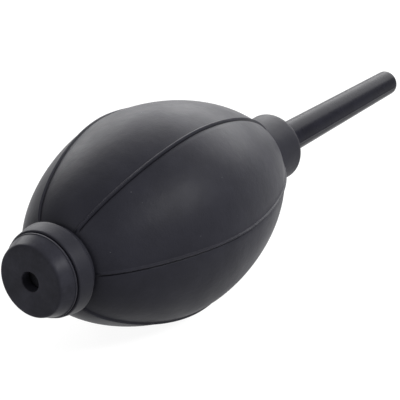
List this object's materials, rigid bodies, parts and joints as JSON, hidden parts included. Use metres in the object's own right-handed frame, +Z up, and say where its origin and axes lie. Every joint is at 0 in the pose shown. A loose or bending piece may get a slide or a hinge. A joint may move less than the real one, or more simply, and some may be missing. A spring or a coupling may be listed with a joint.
{
  "type": "hand air blower bulb",
  "caption": "Ribbed rubber squeeze bulb with a one-way intake valve plug in its tail and a tapered rigid nozzle in its neck, lying on its side.",
  "frame": {"origin": "centre of the intake hole in the flat tail face, on the axis", "axes": "+X along the axis from the tail face to the nozzle's tip, +Z up, the bulb lying on its belly"},
  "size_m": [0.1775, 0.056, 0.055],
  "materials": {
    "bulb_rubber": "matte moulded rubber",
    "plug_plastic": "fine satin moulding",
    "disc_rubber": "smooth rubber sheet",
    "cage_plastic": "moulded plastic",
    "bush_plastic": "moulded plastic",
    "nozzle_plastic": "semi-gloss moulded plastic"
  },
  "bodies": {
    "bulb_body": {"bulb": "bulb_rubber", "neck_bush": "bush_plastic"},
    "tail_plug": {"valve_body": "plug_plastic", "valve_cage": "cage_plastic"},
    "disc": {"valve_disc": "disc_rubber"},
    "nozzle_body": {"nozzle": "nozzle_plastic"}
  },
  "joints": [
    {"name": "squeeze", "type": "slide", "parent": "bulb_body", "child": "tail_plug", "axis": [1, 0, 0], "range_m": [0, 0.02], "stiffness_N_per_m": 600, "deforming": ["bulb"]},
    {"name": "valve_lift", "type": "slide", "parent": "tail_plug", "child": "disc", "axis": [1, 0, 0], "range_m": [0, 0.0012]},
    {"name": "nozzle_pull", "type": "slide", "parent": "bulb_body", "child": "nozzle_body", "axis": [1, 0, 0], "range_m": [0, 0.013]}
  ]
}
